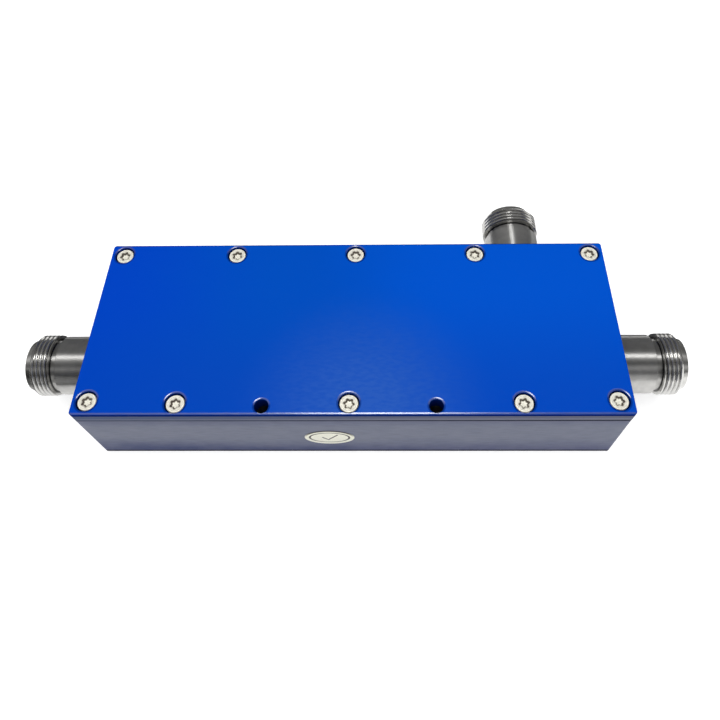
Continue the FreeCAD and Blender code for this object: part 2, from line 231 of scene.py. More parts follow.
class Nodes:
    """Short calls that add nodes to a finish or to the studio room."""

    def __init__(self, tree):
        self.tree = tree

    def node(self, kind, *inputs, **settings):
        """A node of a kind, with its settings and its inputs in order, each a socket, a value or None."""
        made = self.tree.nodes.new("ShaderNode" + kind)
        for key, value in settings.items():
            setattr(made, key, value)
        for socket, value in zip(made.inputs, inputs):
            self.feed(socket, value)
        return made

    def feed(self, socket, value):
        """Links a socket to another, or sets it to a value. None leaves it as it is."""
        if isinstance(value, bpy.types.NodeSocket):
            self.tree.links.new(value, socket)
        elif value is not None:
            socket.default_value = value

    def axes(self, vector):
        """The three parts of a vector."""
        return self.node("SeparateXYZ", vector).outputs

    def math(self, operation, first, second=None):
        """A calculation with numbers."""
        return self.node("Math", first, second, operation=operation).outputs[0]

    def times(self, first, second):
        """One number times another."""
        return self.math("MULTIPLY", first, second)

    def minus(self, first, second):
        """One number less another."""
        return self.math("SUBTRACT", first, second)

    def larger(self, first, second):
        """The larger of two numbers."""
        return self.math("MAXIMUM", first, second)

    def swayed(self, value, noise, reach):
        """A number that noise moves to and fro."""
        return self.math("ADD", value, self.times(self.minus(noise, 0.5), reach))

    def fade(self, value, start, end, low=0.0, high=1.0):
        """A smooth change from low to high while a value goes from start to end."""
        made = self.node("MapRange", value, start, end, low, high, interpolation_type="SMOOTHSTEP")
        return made.outputs["Result"]

    def ramp(self, value, start, end, low=0.0, high=1.0):
        """An even change from low to high while a value goes from start to end."""
        return self.node("MapRange", value, start, end, low, high).outputs["Result"]

    def vector(self, operation, first, second=None):
        """A calculation with vectors. A length or a dot product comes as a number."""
        made = self.node("VectorMath", first, second, operation=operation)
        return made.outputs["Value" if operation in ("LENGTH", "DOT_PRODUCT") else "Vector"]

    def stretched(self, vector, stretch):
        """A vector scaled by a different amount along each axis."""
        return self.vector("MULTIPLY", vector, stretch)

    def scaled(self, vector, amount):
        """A vector scaled by a number that may vary."""
        made = self.node("VectorMath", vector, operation="SCALE")
        self.feed(made.inputs["Scale"], amount)
        return made.outputs["Vector"]

    def noise(self, vector, scale, detail=2.0, roughness=0.5):
        """Noise about 0.5 whose features are about one over scale metres wide."""
        made = self.node("TexNoise")
        self.feed(made.inputs["Vector"], vector)
        self.feed(made.inputs["Scale"], scale)
        self.feed(made.inputs["Detail"], detail)
        self.feed(made.inputs["Roughness"], roughness)
        return made.outputs["Fac"]

    def blend(self, share, first, second):
        """A colour between two colours."""
        made = self.node("Mix", data_type="RGBA")
        self.feed(made.inputs["Factor"], share)
        for name, value in (("A", first), ("B", second)):
            socket = next(s for s in made.inputs if s.name == name and s.type == "RGBA")
            self.feed(socket, value if isinstance(value, bpy.types.NodeSocket) else (*value, 1))
        return next(s for s in made.outputs if s.type == "RGBA")

    def bump(self, height, strength, depth=0.00002, normal=None):
        """A bumped normal from a height."""
        made = self.node("Bump")
        self.feed(made.inputs["Strength"], strength)
        self.feed(made.inputs["Distance"], depth)
        self.feed(made.inputs["Height"], height)
        self.feed(made.inputs["Normal"], normal)
        return made.outputs["Normal"]

    def soft_edges(self, radius):
        """A normal that rounds sharp edges over a small radius."""
        return self.node("Bevel", radius, samples=8).outputs["Normal"]


class Finish(Nodes):
    """A new material, with a call for each socket of its shader."""

    def __init__(self, name, base, metallic=0.0, roughness=0.5, specular=0.5):
        self.material = bpy.data.materials.new(name)
        self.material.use_nodes = True
        super().__init__(self.material.node_tree)
        self.shader = self.tree.nodes["Principled BSDF"]
        self.set("Base Color", (*base, 1))
        self.set("Metallic", metallic)
        self.set("Roughness", roughness)
        self.set("Specular IOR Level", specular)

    def set(self, socket_name, value):
        """Sets one of the shader's sockets to a value, or links it to another socket."""
        self.feed(self.shader.inputs[socket_name], value)

    def place(self):
        """Object coordinates, in metres in the model's frame."""
        return self.node("TexCoord").outputs["Object"]


def colours():
    """The colours that the panel lists."""
    return bpy.context.scene.coupler_colours


def darker(base, share):
    """A colour at a share of its light."""
    return [value * share for value in base]


def outline_depth(finish, place, node_name):
    """How far outside the node's rounded outline a point is, seen from above. It is negative inside."""
    low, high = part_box(node_name)
    centre = (low + high) / 2
    half = (high - low) / 2 - Vector((CORNER_RADIUS, CORNER_RADIUS, 0))
    flat = finish.stretched(finish.vector("SUBTRACT", place, centre), (1, 1, 0))
    beyond = finish.vector("SUBTRACT", finish.vector("ABSOLUTE", flat), Vector((half.x, half.y, 0)))
    away = finish.vector("LENGTH", finish.vector("MAXIMUM", beyond, (0, 0, 0)))
    return finish.minus(away, CORNER_RADIUS)


def side_colour(finish, place):
    """The milled sides: grey blue, bluer and darker towards the foot and just under the seam as painted shade,
    darker on the cover, with patches and a dark seam.
    """
    # The first two are heights over the base, and the next four heights over the seam.
    foot_rise = (-0.001, 0.0115)
    bottom_line = (0.0018, 0.001)
    shade_rise = (-0.005, -0.0004)
    cover_start = (0, 0.0001)
    seam_line = (0.0006, 0.0003)
    pale_line = (0.0014, 0.0009)
    patch_sway = 0.006
    low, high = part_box("cover")
    parts = finish.axes(place)
    height = parts["Z"]
    over_seam = finish.minus(height, low.z)
    to_the_right = finish.fade(parts["X"], low.x, high.x)
    deeper = finish.fade(parts["X"], low.x, high.x, 0.4, 1.0)
    patch = finish.noise(finish.stretched(place, (1, 1, 3)), 60, detail=3)
    uneven = finish.swayed(height, patch, patch_sway)
    # Painted shade: the foot's colour darkens the sides towards the bottom and just under the seam.
    foot = finish.blend(to_the_right, colours().shaded_foot_left, colours().shaded_foot_right)
    tray = finish.blend(finish.fade(uneven, *foot_rise), foot, colours().side)
    tray = finish.blend(finish.fade(over_seam, *shade_rise, 0, 0.35), tray, foot)
    streak = finish.noise(finish.stretched(place, (0.1, 0.1, 1)), 2500, detail=2)
    tray = finish.blend(finish.fade(streak, 0.35, 0.75, 0, 0.16), tray, colours().seam)
    cover = finish.blend(to_the_right, colours().cover_side_left, colours().cover_side_right)
    cover = finish.blend(finish.times(finish.fade(over_seam, *pale_line), deeper), cover, colours().side)
    plain = finish.blend(finish.fade(over_seam, *cover_start), tray, cover)
    seam = finish.times(finish.fade(finish.math("ABSOLUTE", over_seam), *seam_line), deeper)
    dark = finish.larger(seam, finish.fade(height, *bottom_line, 0, 0.8))
    return finish.blend(dark, plain, colours().seam)


def side_grain(finish, place):
    """Fine lines along the sides, as a cutter leaves them."""
    lines_share = 0.6
    lines = finish.noise(finish.stretched(place, (0.05, 0.05, 1)), 9000, detail=2)
    grain = finish.noise(place, 4500, detail=2)
    return finish.math("ADD", finish.times(lines, lines_share), finish.times(grain, 1 - lines_share))


def milled_side_finish():
    """Satin finish of the tray's outside, and bare metal inside, coloured dark as painted shade."""
    skin = (-0.0003, -0.0005)
    edge_softness = 0.00015
    rough_span = (0.36, 0.5)
    finish = Finish("housing_satin_aluminium", colours().side, specular=0.05)
    place = finish.place()
    # The inside takes the dark colour, which is painted shade.
    is_inside = finish.fade(outline_depth(finish, place, "housing"), *skin)
    finish.set("Base Color", finish.blend(is_inside, side_colour(finish, place), colours().inside))
    finish.set("Roughness", finish.fade(finish.noise(place, 350, detail=3), 0.2, 0.8, *rough_span))
    edges = finish.soft_edges(edge_softness)
    finish.set("Normal", finish.bump(side_grain(finish, place), 0.12, depth=0.00003, normal=edges))
    return finish.material


def roll_share(finish, value, start, end):
    """How far the paint leans between a roll's start and its end: a little at once, then evenly more."""
    at_once = 0.2
    begun = finish.fade(value, start, start + at_once * (end - start))
    return finish.times(begun, finish.ramp(value, start, end, at_once, 1.0))


def paint_roll(finish, place, sizes):
    """The paint's lean where it rolls into a hole or leans to a long edge. It is 1 long at a hole's rim."""
    full_lean = 0.8 * sizes.edge_roll
    rims_start = 1.2 * sizes.edge_roll
    low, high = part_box("cover")
    middle = Vector(((low.x + high.x) / 2 - sizes.hole_middle, low.y + sizes.hole_inset, 0))
    apart = Vector((sizes.hole_spacing / 2, 0, 0))
    rims = [(middle - apart, sizes.hole / 2), (middle + apart, sizes.hole / 2)]
    rims += [((a + b) / 2, sizes.counterbore / 2) for a, b in separate_solids("cover_screws")]
    depth = finish.axes(place)["Y"]
    front = finish.fade(depth, low.y + sizes.edge_roll, low.y + full_lean, 0, sizes.edge_lean)
    back = finish.fade(depth, high.y - sizes.edge_roll, high.y - full_lean, 0, sizes.edge_lean)
    lean = finish.node("CombineXYZ", 0.0, finish.minus(back, front), 0.0).outputs[0]
    behind_edge = finish.fade(depth, low.y + full_lean, low.y + rims_start)
    for centre, radius in rims:
        inward = finish.stretched(finish.vector("SUBTRACT", centre, place), (1, 1, 0))
        share = roll_share(finish, finish.vector("LENGTH", inward), radius + sizes.roll, radius)
        share = finish.times(share, behind_edge)
        lean = finish.vector("ADD", lean, finish.scaled(finish.vector("NORMALIZE", inward), share))
    return lean


def cover_blue(finish, place, grain):
    """The paint's blue: uneven, paler to the right, deeper in front, with a painted reflection before the
    middle screw.
    """
    low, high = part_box("cover")
    left_to_middle = (low.x, -0.02)
    middle_to_right = (-0.012, 0.026)
    back_to_front = (0.012, low.y)
    cloud_sway = 0.02
    reflection_middle = (0.003, low.y, 0)
    reflection_length = 0.034
    reflection_depth = 0.037
    reflection_span = (0.7, 1.3)
    parts = finish.axes(place)
    cloud = finish.noise(finish.stretched(place, (1, 1.6, 1)), 28, detail=4)
    along = finish.swayed(parts["X"], cloud, cloud_sway)
    blue = finish.blend(finish.fade(along, *left_to_middle), colours().cover_left, colours().cover_middle)
    blue = finish.blend(finish.fade(along, *middle_to_right), blue, colours().cover_right)
    blue = finish.blend(finish.fade(parts["Y"], *back_to_front, 0, 0.75), blue, colours().cover_front)
    # Painted reflection: a soft paler patch before the front middle screw.
    from_reflection = finish.vector("SUBTRACT", place, reflection_middle)
    from_reflection = finish.stretched(from_reflection, (1 / reflection_length, 1 / reflection_depth, 0))
    near_reflection = finish.fade(finish.vector("LENGTH", from_reflection), 1.0, 0.0)
    reflection = finish.times(near_reflection, finish.fade(grain, 0.2, 0.8, *reflection_span))
    return finish.blend(reflection, blue, colours().cover_reflection)


def cover_paint_finish(sizes):
    """Blue paint on the cover's top, its rounded edge and its counterbores, and satin metal on its sides. The
    paint goes dark blue down its rounded edges and in the holes as painted shade.
    """
    # The first four are depths under the top. The round edge's pair also counts from the back edge.
    top_end = (0.00026, 0.00018)
    round_start = 0.0002
    round_end = 0.0005
    paint_end = (0.00125, 0.00145)
    outline_skin = (-0.00012, -0.00006)
    rolled_lean = (0.1, 0.6)
    rim_lean = (-0.02, -0.25)
    strip_blend = 0.0001
    edge_softness = 0.00012
    flat_shine = 0.03
    rim_shine = 0.5
    rim_index_span = (1.5, 2.0)
    rough_span = (0.13, 0.22)
    side_roughness = 0.42
    finish = Finish("cover_blue_paint", colours().cover_left)
    place = finish.place()
    low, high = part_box("cover")
    parts = finish.axes(place)
    under_top = finish.minus(high.z, parts["Z"])
    grain = finish.noise(finish.stretched(place, (0.4, 1, 1)), 1300, detail=4)
    roll = paint_roll(finish, place, sizes)
    rolled = finish.fade(finish.vector("LENGTH", roll), *rolled_lean, 0, 0.6)
    round_the_edge = finish.fade(under_top, round_start, round_end)
    back_edge = finish.fade(parts["Y"], high.y - round_end, high.y - round_start)
    # Painted shade at the hole rims, down the rounded edges and in the holes, and along the back edge.
    edge_shade = finish.larger(rolled, finish.larger(round_the_edge, back_edge))
    blue = finish.blend(edge_shade, cover_blue(finish, place, grain), colours().cover_edge_shade)
    on_outline = finish.fade(outline_depth(finish, place, "cover"), *outline_skin)
    is_side = finish.times(on_outline, finish.fade(under_top, *paint_end))
    finish.set("Base Color", finish.blend(is_side, blue, side_colour(finish, place)))
    on_top = finish.fade(under_top, *top_end)
    rim = finish.times(finish.fade(finish.axes(roll)["Y"], *rim_lean), on_top)
    flat = finish.larger(is_side, finish.minus(1.0, round_the_edge))
    shine = finish.larger(finish.times(flat, flat_shine), finish.times(rim, rim_shine))
    finish.set("Specular IOR Level", shine)
    finish.set("IOR", finish.fade(rim, 0, 1, *rim_index_span))
    gloss = finish.fade(grain, 0.25, 0.75, *rough_span)
    finish.set("Roughness", finish.larger(gloss, finish.times(is_side, side_roughness)))
    strip_end = low.y + sizes.edge_roll
    level_strip = finish.times(finish.fade(parts["Y"], strip_end + strip_blend, strip_end), on_top)
    keep = finish.node("CombineXYZ", 1.0, finish.minus(1.0, level_strip), 1.0).outputs[0]
    levelled = finish.stretched(finish.soft_edges(edge_softness), keep)
    leaning = finish.vector("ADD", levelled, finish.scaled(roll, sizes.roll_slope))
    peel = finish.noise(place, 700)
    finish.set("Normal", finish.bump(peel, 0.1, normal=finish.vector("NORMALIZE", leaning)))
    return finish.material


def thread_span(sizes):
    """The stations at which a port's thread starts and at which its slope meets the nose."""
    start = sizes.body_length + sizes.body_chamfer + sizes.groove_length
    return start, start + sizes.thread_length + sizes.thread_lead


def thread_shade_share(finish, station, radius, thread_radius, sizes):
    """How much painted shade a port has: in the thread's roots, most in its first turns, and at its wall's
    foot.
    """
    crest_skin = 0.0001
    slope_skin = 0.0003
    wall_skin = (0.00005, 0.0002)
    off_wall = (0.00025, 0.00015)
    wall_foot = (0.0008, 0.0003)
    turns_span = (0.15, 0.85)
    wall_span = (0, 0.85)
    thread_start, thread_end = thread_span(sizes)
    groove = sizes.groove_diameter / 2
    from_wall = finish.minus(station, thread_start)
    root = finish.fade(radius, thread_radius - crest_skin, thread_radius - sizes.thread_depth)
    first_turns = finish.fade(from_wall, 2 * sizes.thread_pitch, 0, *turns_span)
    before_end = finish.fade(station, thread_end, thread_end - slope_skin)
    in_thread = finish.times(finish.fade(from_wall, *wall_skin), before_end)
    in_roots = finish.times(finish.times(root, in_thread), first_turns)
    on_wall = finish.fade(finish.math("ABSOLUTE", from_wall), *off_wall, *wall_span)
    at_foot = finish.times(on_wall, finish.fade(finish.minus(radius, groove), *wall_foot))
    return finish.larger(in_roots, at_foot)


def plated_finish(name, place, heading, thread_radius, sizes):
    """Bright plating, with painted shade in the thread's roots. Its plain parts are finely turned, which
    spreads light.
    """
    quarter_turn = 0.25
    thread_blend = 0.0003
    rough_span = (0.4, 0.2)
    stretch_span = (1.0, 0.3)
    finish = Finish(name, colours().plating, metallic=1.0)
    axis = Vector((math.cos(heading), math.sin(heading), 0))
    offset = finish.vector("SUBTRACT", finish.place(), place)
    station = finish.vector("DOT_PRODUCT", offset, axis)
    radius = finish.vector("LENGTH", finish.vector("SUBTRACT", offset, finish.scaled(axis, station)))
    thread_start = thread_span(sizes)[0]
    threaded = finish.fade(station, thread_start - thread_blend, thread_start)
    finish.set("Roughness", finish.fade(threaded, 0, 1, *rough_span))
    finish.set("Anisotropic", finish.fade(threaded, 0, 1, *stretch_span))
    finish.set("Anisotropic Rotation", quarter_turn)
    tangent = finish.node("Tangent", direction_type="RADIAL", axis="X" if abs(axis.x) > 0.5 else "Y")
    finish.set("Tangent", tangent.outputs["Tangent"])
    turned = finish.node("CombineXYZ", station, radius, 0.0).outputs[0]
    rings = finish.noise(turned, 9000, detail=3, roughness=0.6)
    finish.set("Normal", finish.bump(rings, 0.05))
    tarnish = finish.fade(finish.noise(finish.place(), 500, detail=4), 0.3, 0.75)
    clean = finish.blend(tarnish, colours().plating, darker(colours().plating, 0.86))
    # Painted shade in the thread's roots and at its wall's foot.
    thread_shade = thread_shade_share(finish, station, radius, thread_radius, sizes)
    finish.set("Base Color", finish.blend(thread_shade, clean, colours().thread_shade))
    return finish.material


def screw_finish():
    """Pale satin steel with painted shade: brown and more metallic in the recess, and a little browner in the
    head's ring and at its edge.
    """
    metal_span = (0.1, 0.6)
    rough_span = (0.32, 0.5)
    finish = Finish("screw_pale_steel", colours().steel)
    screw_shade = finish.node("Attribute", attribute_name="screw_shade", attribute_type="GEOMETRY").outputs["Fac"]
    speckle = finish.noise(finish.place(), 2600, detail=4)
    worn = finish.blend(finish.fade(speckle, 0.35, 0.75), colours().steel, darker(colours().steel, 0.82))
    finish.set("Base Color", finish.blend(screw_shade, worn, colours().recess))
    finish.set("Metallic", finish.fade(screw_shade, 0, 1, *metal_span))
    finish.set("Roughness", finish.fade(speckle, 0.3, 0.8, *rough_span))
    finish.set("Normal", finish.bump(speckle, 0.15))
    return finish.material


def plain_metal_finish(name, base, roughness):
    """A hidden or small metal piece: one metal, unevenly polished."""
    rough_span = (roughness * 0.75, roughness * 1.35)
    finish = Finish(name, base, metallic=1.0)
    place = finish.place()
    smear = finish.noise(place, 600, detail=4)
    finish.set("Roughness", finish.fade(smear, 0.25, 0.75, *rough_span))
    tone = finish.fade(finish.noise(place, 220, detail=3), 0.3, 0.7)
    finish.set("Base Color", finish.blend(tone, darker(base, 0.88), base))
    finish.set("Normal", finish.bump(finish.noise(place, 5000), 0.08))
    return finish.material


def dielectric_finish():
    """White dielectric with a waxy surface."""
    finish = Finish("dielectric_white", colours().dielectric, roughness=0.45, specular=0.35)
    place = finish.place()
    finish.set("Subsurface Weight", 0.15)
    finish.set("Subsurface Radius", (0.001, 0.001, 0.0009))
    tone = finish.fade(finish.noise(place, 300, detail=3), 0.3, 0.7)
    finish.set("Base Color", finish.blend(tone, darker(colours().dielectric, 0.93), colours().dielectric))
    finish.set("Normal", finish.bump(finish.noise(place, 3500), 0.1, depth=0.00003))
    return finish.material


def ceramic_finish():
    """Matte ceramic with a fine grain."""
    finish = Finish("chip_ceramic_matte", colours().ceramic, roughness=0.6)
    grain = finish.noise(finish.place(), 6000, detail=3)
    finish.set("Base Color", finish.blend(grain, darker(colours().ceramic, 0.9), colours().ceramic))
    finish.set("Normal", finish.bump(grain, 0.15))
    return finish.material


def stroke_share(finish, place, start, end, width):
    """1 on a straight stroke of the sticker's print, 0 away from it."""
    start = Vector(start)
    run = Vector(end) - start
    offset = finish.vector("SUBTRACT", place, start)
    along = finish.math("DIVIDE", finish.vector("DOT_PRODUCT", offset, run), run.length_squared)
    share = finish.node("Clamp", along, 0.0, 1.0).outputs[0]
    away = finish.vector("LENGTH", finish.vector("SUBTRACT", offset, finish.scaled(run, share)))
    return finish.fade(away, width * 0.6, width * 0.4)


def sticker_finish(sizes):
    """Cream paper with a thin printed oval and a plain tick in it, and a painted shadow along its upper edge.
    """
    low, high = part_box("inspection_sticker")
    centre = (low + high) / 2
    half = (high - low) / 2
    tick = sizes.tick_size
    tick_start = (-0.5 * tick, 0, 0.02 * tick)
    tick_corner = (-0.1 * tick, 0, -0.42 * tick)
    tick_end = (0.6 * tick, 0, 0.5 * tick)
    finish = Finish("sticker_cream_paper", colours().paper, specular=0.4)
    flat = finish.stretched(finish.vector("SUBTRACT", finish.place(), centre), (1, 0, 1))
    oval = finish.vector("LENGTH", finish.stretched(flat, (2 / sizes.ring_length, 0, 2 / sizes.ring_height)))
    off_line = finish.math("ABSOLUTE", finish.minus(oval, 1.0))
    half_line = 2 * sizes.ring_width / (sizes.ring_length + sizes.ring_height)
    ring = finish.fade(off_line, half_line * 1.25, half_line * 0.75)
    short = stroke_share(finish, flat, tick_start, tick_corner, sizes.tick_width)
    long = stroke_share(finish, flat, tick_corner, tick_end, sizes.tick_width)
    to_edge = finish.vector("LENGTH", finish.stretched(flat, (1 / half.x, 0, 1 / half.z)))
    # Painted shadow along the sticker's upper edge, in the ink's colour.
    upper = finish.fade(finish.axes(flat)["Z"], 0, half.z * 0.7)
    shadow = finish.times(finish.fade(to_edge, 0.9, 0.96), upper)
    dark = finish.larger(finish.larger(ring, shadow), finish.larger(short, long))
    fibres = finish.noise(finish.place(), 3000, detail=4)
    paper = finish.blend(finish.fade(fibres, 0.3, 0.8), colours().paper, darker(colours().paper, 0.9))
    finish.set("Base Color", finish.blend(dark, paper, colours().ink_and_shadow))
    finish.set("Normal", finish.bump(fibres, 0.1, depth=0.00003))
    return finish.material


def finish_node(node_name, material):
    """Gives a node of the model a finish."""
    for material_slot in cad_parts[node_name].material_slots:
        material_slot.material = material


def new_piece(name, bm, material, slot_name, *replaced):
    """Makes a closed piece from its mesh, shades it and lets it stand for nodes of the model."""
    bmesh.ops.recalc_face_normals(bm, faces=bm.faces)
    if any(edge.is_boundary for edge in bm.edges):
        raise RuntimeError(name + " isn't closed")
    for face in bm.faces:
        face.smooth = True
    for edge in bm.edges:
        edge.smooth = edge.calc_face_angle(math.pi) < SMOOTH_ANGLE
    mesh = bpy.data.meshes.new(name)
    bm.to_mesh(mesh)
    bm.free()
    mesh.materials.append(material)
    piece = bpy.data.objects.new(name, mesh)
    bpy.context.collection.objects.link(piece)
    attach(piece, "root")
    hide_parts(*replaced)


def open_edges(bm, verts):
    """The open edges that run between some vertices."""
    return [edge for edge in bm.edges if edge.is_boundary and verts.issuperset(edge.verts)]


def grow(bm, loop):
    """Extrudes an open loop of edges, and returns the new vertices, which still lie on the old ones."""
    made = bmesh.ops.extrude_edge_only(bm, edges=loop)["geom"]
    return {item for item in made if isinstance(item, bmesh.types.BMVert)}


def turn_outline(bm, loop, outline):
    """Carries an open loop about the X axis along an outline of (station, radius) points."""
    for station, radius in outline:
        verts = grow(bm, loop)
        for vert in verts:
            away = Vector((0, vert.co.y, vert.co.z)).normalized() * radius
            vert.co = Vector((station, away.y, away.z))
        loop = open_edges(bm, verts)
    return loop


def cut_thread(bm, sizes, thread_radius, start, end, lead_out, thread_turn):
    """A right-hand thread about the X axis, cut off square at both ends and chamfered at its front one."""
    flank_angle = math.radians(30)
    soft = 0.00004
    pitch = sizes.thread_pitch
    root = thread_radius - sizes.thread_depth
    crest = sizes.thread_crest / 2
    foot = crest + sizes.thread_depth * math.tan(flank_angle)
    one_turn = [
        (-crest - soft / 2, thread_radius - soft),
        (soft - crest, thread_radius),
        (crest - soft, thread_radius),
        (crest + soft / 2, thread_radius - soft),
        (foot - soft / 2, root + soft),
        (foot + soft / 2, root),
        (pitch - foot - soft / 2, root),
        (pitch - foot + soft / 2, root + soft),
    ]
    turns = math.ceil((end - start) / pitch) + 3
    first = start - 2 * pitch
    verts = []
    for turn in range(turns):
        verts += [bm.verts.new((first + turn * pitch + x, 0, radius)) for x, radius in one_turn]
    edges = [bm.edges.new(pair) for pair in zip(verts, verts[1:])]
    steps = sizes.turn_steps
    bmesh.ops.spin(
        bm, geom=verts + edges, cent=(0, 0, 0), axis=(1, 0, 0), dvec=(pitch / steps, 0, 0),
        angle=math.tau, steps=steps, use_merge=False,
    )
    bmesh.ops.remove_doubles(bm, verts=bm.verts, dist=TINY * 10)
    bmesh.ops.rotate(bm, verts=bm.verts, cent=(0, 0, 0), matrix=Matrix.Rotation(thread_turn, 3, "X"))
    for station, cut_beyond in ((start, False), (end, True)):
        bmesh.ops.bisect_plane(
            bm, geom=bm.verts[:] + bm.edges[:] + bm.faces[:], dist=TINY, plane_co=(station, 0, 0),
            plane_no=(1, 0, 0), clear_outer=cut_beyond, clear_inner=not cut_beyond,
        )
    for vert in bm.verts:
        limit = lead_out + (thread_radius - lead_out) * (end - vert.co.x) / sizes.thread_lead
        away = Vector((0, vert.co.y, vert.co.z))
        if away.length > limit:
            away = away.normalized() * limit
            vert.co = Vector((vert.co.x, away.y, away.z))


def port_shell_mesh(sizes, wall, thread_radius, thread_turn):
    """A port's outer conductor on the X axis: thread, groove, body, spigot, bores and nose in one skin."""
    groove_start = sizes.body_length + sizes.body_chamfer
    thread_start, nose_start = thread_span(sizes)
    front = nose_start + sizes.nose_length
    body = sizes.body_diameter / 2
    groove = sizes.groove_diameter / 2
    nose = sizes.nose_diameter / 2
    lead = sizes.lead_diameter / 2
    bore = sizes.bore_diameter / 2
    line = sizes.line_diameter / 2
    pocket = sizes.insulator_diameter / 2
    reference = front - sizes.bore_depth
    soft = sizes.nose_chamfer / 2
    bm = bmesh.new()
    cut_thread(bm, sizes, thread_radius, thread_start, nose_start, lead, thread_turn)
    behind = open_edges(bm, {vert for vert in bm.verts if abs(vert.co.x - thread_start) < TINY})
    ahead = open_edges(bm, {vert for vert in bm.verts if abs(vert.co.x - nose_start) < TINY})
    behind = turn_outline(bm, behind, [
        (thread_start, groove + soft),
        (thread_start - soft, groove),
        (groove_start + soft, groove),
        (groove_start, groove + soft),
        (groove_start, body - sizes.body_chamfer),
        (sizes.body_length, body),
        (0, body),
        (0, sizes.spigot_diameter / 2),
        (-wall, sizes.spigot_diameter / 2),
    ])
    ahead = turn_outline(bm, ahead, [
        (nose_start, nose),
        (front - sizes.nose_chamfer, nose),
        (front - soft / 2, nose - soft / 2),
        (front, nose - sizes.nose_chamfer),
        (front, bore + sizes.mouth_chamfer),
        (front - sizes.mouth_chamfer, bore),
        (reference, bore),
        (reference, line),
        (sizes.insulator_reach, line),
        (sizes.insulator_reach, pocket),
        (-wall, pocket),
    ])
    bmesh.ops.bridge_loops(bm, edges=behind + ahead)
    return bm


def port_place(port):
    """Where a port's axis leaves the tray, its shell's thread radius and the wall that it goes through."""
    low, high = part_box(port + "_port_shell")
    tray_low, tray_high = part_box("housing")
    middle = (low + high) / 2
    radius = (high.z - low.z) / 2
    if port == "input":
        return Vector((tray_low.x, middle.y, middle.z)), radius, high.x - tray_low.x
    if port == "output":
        return Vector((tray_high.x, middle.y, middle.z)), radius, tray_high.x - low.x
    return Vector((middle.x, tray_high.y, middle.z)), radius, tray_high.y - low.y


def lobed_radius(sizes, angle):
    """The recess's outline: six round lobes about the screw's axis."""
    share = (1 + math.cos(6 * angle)) / 2
    return (sizes.recess_waist + (sizes.recess_points - sizes.recess_waist) * share) / 2


def screw_mesh(bm, sizes, head_height, place, turn):
    """One cheese head screw, built about the X axis with its head's underside at station 0, then stood up."""
    segments = 72
    arc_steps = 4
    floor_share = 0.9
    cone_share = 0.3
    head = sizes.head_diameter / 2
    shank = sizes.shank_diameter / 2
    edge = sizes.head_edge
    groove = sizes.ring_depth
    groove_radius = sizes.ring_diameter / 2
    older = set(bm.verts)
    wall_top = bmesh.ops.create_circle(bm, segments=segments, radius=1)["verts"]
    bmesh.ops.rotate(bm, verts=wall_top, cent=(0, 0, 0), matrix=Matrix.Rotation(math.pi / 2, 3, "Y"))
    for vert in wall_top:
        radius = lobed_radius(sizes, math.atan2(vert.co.z, vert.co.y))
        vert.co = Vector((head_height - sizes.recess_rim, vert.co.y * radius, vert.co.z * radius))
    rim = [rim_edge for rim_edge in bm.edges if set(rim_edge.verts) <= set(wall_top)]
    mouth = grow(bm, rim)
    widened = 1 + 2 * sizes.recess_rim / sizes.recess_waist
    bmesh.ops.scale(bm, verts=list(mouth), vec=(1, widened, widened))
    bmesh.ops.translate(bm, verts=list(mouth), vec=(sizes.recess_rim, 0, 0))
    outline = [
        (head_height, groove_radius - 1.5 * groove),
        (head_height - groove, groove_radius - groove / 2),
        (head_height - groove, groove_radius + groove / 2),
        (head_height, groove_radius + 1.5 * groove),
        (head_height, head - edge * 1.3),
    ]
    for step in range(arc_steps + 1):
        angle = math.pi / 2 * step / arc_steps
        outline.append((head_height - edge * (1 - math.cos(angle)), head - edge * (1 - math.sin(angle))))
    outline += [
        (edge / 2, head),
        (0, head - edge / 2),
        (0, shank),
        (shank / 2 - sizes.shank_length, shank),
        (-sizes.shank_length, shank / 2),
    ]
    bmesh.ops.edgeloop_fill(bm, edges=turn_outline(bm, open_edges(bm, mouth), outline))
    wall_foot = grow(bm, rim)
    bmesh.ops.translate(bm, verts=list(wall_foot), vec=(sizes.recess_rim - sizes.recess_depth, 0, 0))
    bmesh.ops.scale(bm, verts=list(wall_foot), vec=(1, sizes.recess_floor, sizes.recess_floor))
    floor_edge = grow(bm, open_edges(bm, wall_foot))
    bmesh.ops.scale(bm, verts=list(floor_edge), vec=(1, floor_share, floor_share))
    cone = grow(bm, open_edges(bm, floor_edge))
    bmesh.ops.scale(bm, verts=list(cone), vec=(1, cone_share, cone_share))
    bmesh.ops.translate(bm, verts=list(cone), vec=(-sizes.recess_cone, 0, 0))
    bmesh.ops.edgeloop_fill(bm, edges=open_edges(bm, cone))
    made = [vert for vert in bm.verts if vert not in older]
    on_ring = [
        vert for vert in made
        if vert.co.x > 0 and abs(math.hypot(vert.co.y, vert.co.z) - groove_radius) < groove
    ]
    on_edge = [vert for vert in made if math.hypot(vert.co.y, vert.co.z) > head - edge / 2]
    # Painted shade per vertex: most on the recess walls, less at the recess's mouth, at the head's edge and in
    # its shallow ring.
    shaded = ((on_ring, 0.35), (on_edge, 0.4), (mouth, 0.5), (wall_foot, 0.75), (wall_top, 0.95))
    darkness = bm.verts.layers.float["screw_shade"]
    for verts, shade in shaded:
        for vert in verts:
            vert[darkness] = shade
    bmesh.ops.rotate(bm, verts=made, cent=(0, 0, 0), matrix=Matrix.Rotation(turn, 3, "X"))
    bmesh.ops.rotate(bm, verts=made, cent=(0, 0, 0), matrix=Matrix.Rotation(-math.pi / 2, 3, "Y"))
    bmesh.ops.translate(bm, verts=made, vec=place)


